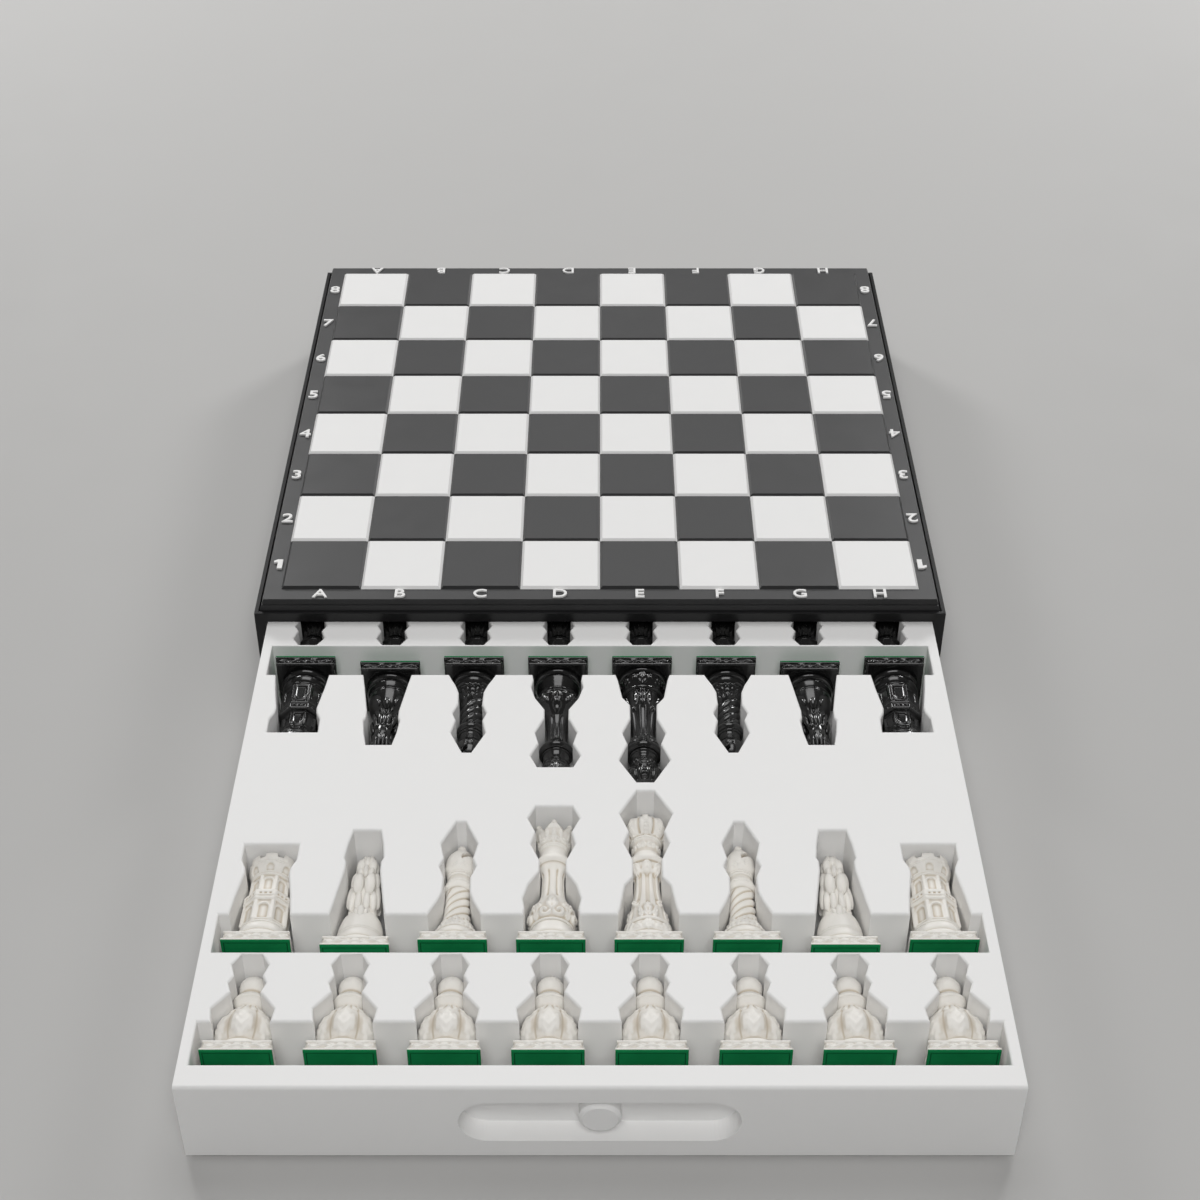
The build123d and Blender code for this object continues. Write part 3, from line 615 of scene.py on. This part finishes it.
def knight():
    """Knight: turned base, neck as a loft of ovals, head as a tube bent down to the muzzle, mane of locks."""
    base = np.concatenate([
        bead(0.0, 3.0, 8.9, 1.6), run((3.0, 9.2), (3.8, 9.6), (6.2, 9.3), (7.2, 8.9)),
        bead(7.2, 8.2, 8.6, 0.35, 7),
        run((8.2, 8.9), (11.0, 8.6), (13.6, 8.1), (16.4, 7.2), (18.6, 5.6))])
    neck = np.array(NECK)
    level = np.linspace(neck[0, 0], neck[-1, 0], 90)
    half, back, front = (np.interp(level, neck[:, 0], neck[:, k])[:, None] for k in (1, 2, 3))
    turn = np.linspace(0, 2 * math.pi, 96, endpoint=False)[None]
    height = level[:, None]
    x = half * np.cos(turn)
    y = (back + front) / 2 + (front - back) / 2 * np.sin(turn)
    strands = 0.5 * np.cos(2.4 * x + 0.5 * (height - 30) * np.sign(x)) * band(height, 15.0, 44.0, 2.0)
    grow = 1 + strands * np.abs(np.sin(turn)) / 8.0
    parts = [plinth(), lathe(base, around=120)]
    parts.append(surface(np.stack([x * grow, y * grow, height + 0 * x], axis=-1)))
    face = np.array(FACE)
    parts.append(tube(face[:, :3], face[:, 3], face[:, 4], 40))
    for hand in (-1, 1):
        parts.append(ball((hand * 3.5, 8.0, 43.0), 1.0))
        parts.append(ball((hand * 2.3, 9.7, 34.0), 1.55))
        for start, end, half_width, thick, arch in SIDE_LOCKS:
            sided = [(hand * point[0], point[1], point[2]) for point in (start, end)]
            parts.append(lock(*sided, half_width, thick, arch))
    for middle_lock in MIDDLE_LOCKS:
        parts.append(lock(*middle_lock))
    return joined(parts)


def laid(part, node, kind, black):
    """Standing surface laid down in its pocket: turned to lie along the drawer and moved to its node."""
    low, high = (np.array(corner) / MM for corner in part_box(node))
    x, y, z = part[0].T
    if black and kind != "knight":
        x, y = -x, -y
    foot = FELT_THICK + PLINTH_HEIGHT
    centre = (low + high) / 2
    if black:
        points = np.stack([centre[0] + x, high[1] - foot - z, centre[2] + y], axis=1)
    else:
        points = np.stack([centre[0] + x, low[1] + foot + z, centre[2] - y], axis=1)
    return (points * MM, *part[1:])


def men(shapes, ivory, jet, green):
    """All thirty-two men with their felts, each standing for its CAD node."""
    pad = felt()
    for colour, material, slot in (("white", ivory, "men_ivory"), ("black", jet, "men_black")):
        black = colour == "black"
        named = [("pawn", f"{colour}_pawn_{letter}") for letter in FILES]
        named += [(kind, f"{colour}_{kind}_{letter}") for kind, letter in zip(RANK, FILES)]
        for kind, node in named:
            body = "drawer" if black and kind == "pawn" else f"loose_{node}"
            piece = mesh_piece(f"carved_{node}", laid(shapes[kind], node, kind, black), material, body)
            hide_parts(node)
            mesh_piece(f"felt_{node}", laid(pad, node, kind, black), green, body, False)


# Tray: the drawer's panels and lands as one surface with softly rounded rims

def node_triangles(node):
    """Corner points of a CAD node's triangles, in millimetres."""
    mesh = frame["nodes"][node].data
    points = np.empty(3 * len(mesh.vertices), np.float32)
    mesh.vertices.foreach_get("co", points)
    mesh.calc_loop_triangles()
    corners = np.empty(3 * len(mesh.loop_triangles), np.int32)
    mesh.loop_triangles.foreach_get("vertices", corners)
    return np.round(points.reshape(-1, 3).astype(float)[corners] / MM, 3).reshape(-1, 3, 3)


def outline(triangles):
    """Outer loop of a flat set of triangles, in order: the edges that belong to one triangle only."""
    keys, index = np.unique(triangles.reshape(-1, 3)[:, :2], axis=0, return_inverse=True)
    index = index.reshape(-1, 3)
    edges = np.concatenate([index[:, [0, 1]], index[:, [1, 2]], index[:, [2, 0]]])
    ahead = {tuple(edge) for edge in edges.tolist()}
    follow = {a: b for a, b in ahead if (b, a) not in ahead}
    loop = [next(iter(follow))]
    while follow[loop[-1]] != loop[0]:
        loop.append(follow[loop[-1]])
    return keys[loop]


def moved_in(loop, distance):
    """Loop with each edge moved to its left by its own distance: every corner solves both its edges."""
    edge = np.roll(loop, -1, axis=0) - loop
    left = np.stack([-edge[:, 1], edge[:, 0]], axis=1) / np.linalg.norm(edge, axis=1)[:, None]
    both = np.stack([np.roll(left, 1, axis=0), left], axis=1)
    wanted = np.stack([np.roll(distance, 1), distance], axis=1)
    return loop + (np.linalg.pinv(both, rcond=1e-3) @ wanted[:, :, None])[:, :, 0]


def chain(loop, rear):
    """Corners of a land's outline along its front or rear side, with the pockets that open there."""
    x, y = loop.T
    side = y > y.max() - 1e-6 if rear else y < y.min() + 1e-6
    order = -x if rear else x
    spots = np.flatnonzero(side)
    start, end = spots[np.argmin(order[spots])], spots[np.argmax(order[spots])]
    turned = np.roll(np.arange(len(loop)), -start)
    return loop[turned[:1 + int(np.flatnonzero(turned == end)[0])]]


def loose(triangles):
    """Separate triangles as a surface."""
    count = len(triangles)
    return triangles.reshape(-1, 3), np.arange(3 * count), np.full(count, 3), np.zeros(3 * count)


def level_top(triangles, top):
    """Those triangles that lie in the top face."""
    return triangles[(triangles[:, :, 2] > top - NEAR).all(axis=1)]


def on_plane(values, place):
    """Whether all three corners of each triangle lie at that place along one axis."""
    return (np.abs(values - place) < NEAR).all(axis=1)


def tray(material):
    """Drawer top with rims rounded by quarter circles: the top face between the moved-in loops of the four
    trenches, rings of the quarter circle, straight walls to the floor, and the outer faces of the panels."""
    low, high = (np.array(corner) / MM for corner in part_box("drawer_front"))
    back_low, back_high = (np.array(corner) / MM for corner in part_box("drawer_back"))
    top, floor = high[2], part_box("drawer_floor")[1][2] / MM
    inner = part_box("white_pawn_cradle")[1][0] / MM
    lands = ["white_pawn_cradle", "white_piece_cradle", "black_piece_cradle", "black_pawn_cradle"]
    panels = ["drawer_front", "drawer_back", "drawer_left_side", "drawer_right_side"]
    cut = {node: node_triangles(node) for node in lands + panels}
    loops = [outline(level_top(cut[node], top)) for node in lands]
    front_edge = np.array([(inner, high[1]), (-inner, high[1])])
    back_edge = np.array([(-inner, back_low[1]), (inner, back_low[1])])
    holes = [np.concatenate([front_edge, chain(loops[0], False)]),
             np.concatenate([chain(loops[0], True), chain(loops[1], False)]),
             np.concatenate([chain(loops[2], True), chain(loops[3], False)]),
             np.concatenate([chain(loops[3], True), back_edge])]
    narrow = [loops[0][:, 1].max(), loops[3][:, 1].min()]
    parts, moved = [], []
    for loop in holes:
        ends = np.stack([loop[:, 1], np.roll(loop[:, 1], -1)])
        beside = np.any([(np.abs(ends - y) < 1.5).all(axis=0) for y in narrow], axis=0)
        width = np.where(beside, THIN_RIM, RIM)
        drop = np.minimum(width, np.roll(width, 1))
        turn = np.linspace(0, math.pi / 2, RIM_STEPS)
        rows = [np.column_stack([loop, np.full(len(loop), floor)])]
        rows += [np.column_stack([moved_in(loop, width * (1 - math.cos(t))), top - drop * (1 - math.sin(t))])
                 for t in turn]
        ring = surface(np.array(rows)[::-1])
        parts.append((ring[0], ring[1][:-2 * len(loop)], ring[2][:-2], ring[3]))
        moved.append(rows[-1])
    start = level_top(cut["drawer_front"], top)[:, :, 1].min()
    edge = np.array([(low[0], start, top), (high[0], start, top),
                     (high[0], back_high[1], top), (low[0], back_high[1], top)])
    loops = [edge, *moved]
    points = np.concatenate(loops)
    faces = np.array(tessellate_polygon([loop.tolist() for loop in loops]))
    spread = points[faces]
    side = np.cross(spread[:, 1] - spread[:, 0], spread[:, 2] - spread[:, 0])[:, 2]
    faces[side < 0] = faces[side < 0][:, ::-1]
    parts.append((points, faces.ravel(), np.full(len(faces), 3), np.zeros(len(points))))
    for node in lands:
        reach = cut[node][:, :, 2].max(axis=1)
        parts.append(loose(cut[node][(reach < top - NEAR) & (reach > floor + NEAR)]))
    for node in panels:
        x, y, z = np.moveaxis(cut[node], 2, 0)
        hidden = (z > top - NEAR).all(axis=1) | on_plane(np.abs(x), inner)
        hidden |= on_plane(y, high[1]) | on_plane(y, back_low[1])
        parts.append(loose(cut[node][~hidden]))
    whole = joined(parts)
    piece = mesh_piece("drawer_tray", (whole[0] * MM, *whole[1:]), material, "drawer", False)
    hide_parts(*lands, *panels)


# Coordinates on the margin of the board

def label(text):
    """One sign as a surface, centred on its box and 1 high: the built-in font, or an own outline for a 1."""
    if text == "1":
        flat = np.array([(-0.03, -0.5), (0.25, -0.5), (0.25, 0.5), (-0.05, 0.5), (-0.25, 0.36), (-0.25, 0.14),
                         (-0.03, 0.22)])
        return surface(np.array([np.column_stack([flat, np.full(7, level)]) for level in (-0.05, 0.05)]))
    curve = bpy.data.curves.new("sign", "FONT")
    curve.body, curve.extrude, curve.offset, curve.resolution_u = text, 0.05, 0.014, 5
    obj = bpy.data.objects.new("sign", curve)
    bpy.context.collection.objects.link(obj)
    mesh = bpy.data.meshes.new_from_object(obj.evaluated_get(bpy.context.evaluated_depsgraph_get()))
    points = np.empty(3 * len(mesh.vertices), np.float32)
    mesh.vertices.foreach_get("co", points)
    points = points.reshape(-1, 3).astype(float)
    corners = np.empty(len(mesh.loops), np.int32)
    mesh.loops.foreach_get("vertex_index", corners)
    sizes = np.empty(len(mesh.polygons), np.int32)
    mesh.polygons.foreach_get("loop_total", sizes)
    bpy.data.objects.remove(obj)
    bpy.data.meshes.remove(mesh)
    low, high = points.min(axis=0), points.max(axis=0)
    return (points - (low + high) / 2) / (high[1] - low[1]), corners, sizes, np.zeros(len(points))


def coordinates(material):
    """Raised signs on all four margins, letters along the front and back, numbers along the sides, each pair
    facing its own player."""
    seat = np.array(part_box("board_plate")[1]) / MM
    field = np.array(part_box("light_squares")[1]) / MM
    margin, square = (FRAME_HALF + field[0]) / 2, field[0] / 4
    parts = []
    for k in range(8):
        along = (k - 3.5) * square
        letter, number = FILES[k].upper(), str(k + 1)
        for text, x, y, turned in ((letter, along, -margin, 1), (letter, along, margin, -1),
                                   (number, -margin, along, 1), (number, margin, along, -1)):
            points, corners, sizes, painted_shade = label(text)
            size = turned * (NUMBER_HEIGHT if text.isdigit() else LETTER_HEIGHT)
            points = points * np.array([size * SIGN_WIDEN, size, 1.0])
            points[:, 2] = np.where(points[:, 2] > 0, seat[2] + SIGN_RISE, seat[2] - SIGN_SINK)
            parts.append((points + np.array([x, y, 0.0]), corners, sizes, painted_shade))
    whole = joined(parts)
    mesh_piece("coordinates", (whole[0] * MM, *whole[1:]), material, "case", False)


# Studio

def studio():
    """Pale floor, soft lamps in front, overhead, behind and at both sides, and the camera of the view."""
    bpy.ops.mesh.primitive_plane_add(size=FLOOR_SIZE, location=(0, 0, cad_box[0][2]))
    floor = bpy.context.object
    floor.name = "floor"
    floor.data.materials.append(finish_surface("floor_paper", (0.56, 0.555, 0.545), 0.01, 300, 0.7, 0.02))
    for name, place, size, power in LAMPS:
        data = bpy.data.lights.new(name, "AREA")
        data.size = size
        data.energy = power
        lamp = bpy.data.objects.new(name, data)
        bpy.context.collection.objects.link(lamp)
        lamp.location = place
        lamp.visible_glossy = name != "front"
        x, y, z = np.array(LAMPS_AIM) - np.array(place)
        lamp.rotation_euler = (math.atan2(math.hypot(x, y), -z), 0, math.atan2(-x, y))
    world = bpy.data.worlds.new("studio")
    world.use_nodes = True
    nodes, links = world.node_tree.nodes, world.node_tree.links
    split = nodes.new("ShaderNodeSeparateXYZ")
    links.new(nodes.new("ShaderNodeTexCoord").outputs["Generated"], split.inputs["Vector"])
    sky = ranged(nodes, links, split.outputs["Z"], SKY_LOW, SKY_HIGH)
    links.new(sky, nodes["Background"].inputs["Strength"])
    nodes["Background"].inputs["Color"].default_value = SKY_COLOUR
    bpy.context.scene.world = world
    data = bpy.data.cameras.new("view")
    data.lens = LENS_MM
    data.sensor_width = SENSOR_MM
    camera = bpy.data.objects.new("view", data)
    bpy.context.collection.objects.link(camera)
    camera.location = CAMERA_AT
    camera.rotation_euler = (math.radians(90 - PITCH_DEG), 0, 0)
    bpy.context.scene.camera = camera
    bpy.context.scene.view_settings.view_transform = "Standard"


def dress(node, material):
    """Give a CAD node one material."""
    obj = frame["nodes"][node]
    obj.data.materials.clear()
    obj.data.materials.append(material)


# Objects that are not of the frame go first
clear = [obj for obj in bpy.data.objects if obj not in [*frame["nodes"].values(), *frame["bodies"].values()]]
for obj in clear:
    bpy.data.objects.remove(obj)

black = finish_surface("case_satin", (0.006, 0.006, 0.0065), 0.15, 900, 0.36, 0.05, shine=0.4)
charcoal = finish_surface("board_charcoal", (0.024, 0.024, 0.025), 0.08, 1200, 0.42, 0.05, shine=0.9)
white = finish_surface("matt_white", (0.965, 0.961, 0.952), 0.01, 1200, 0.5, 0.04)
# The second colours of ivory, jet and felt are painted shade: darker colours for their hollows and creases
ivory = finish_surface("ivory", (0.92, 0.895, 0.845), 0.02, 700, 0.4, 0.03, painted_shade=(0.62, 0.54, 0.43))
jet = finish_surface("jet", (0.007, 0.007, 0.007), 0.1, 700, 0.16, 0.02,
                     painted_shade=(0.003, 0.003, 0.003), shine=1.0)
green = finish_surface("green_felt", (0.006, 0.18, 0.058), 0.15, 2500, 0.9, 0.4,
                       painted_shade=(0.002, 0.07, 0.022), shine=0.1)
for node in frame["nodes"]:
    if node.startswith("case_"):
        dress(node, black)
    elif node in ("board_plate", "dark_squares"):
        dress(node, charcoal)
    else:
        dress(node, white)
shapes = {"pawn": pawn(), "rook": rook(), "knight": knight(),
          "bishop": bishop(), "queen": queen(), "king": king()}
men(shapes, ivory, jet, green)
tray(white)
coordinates(white)
studio()
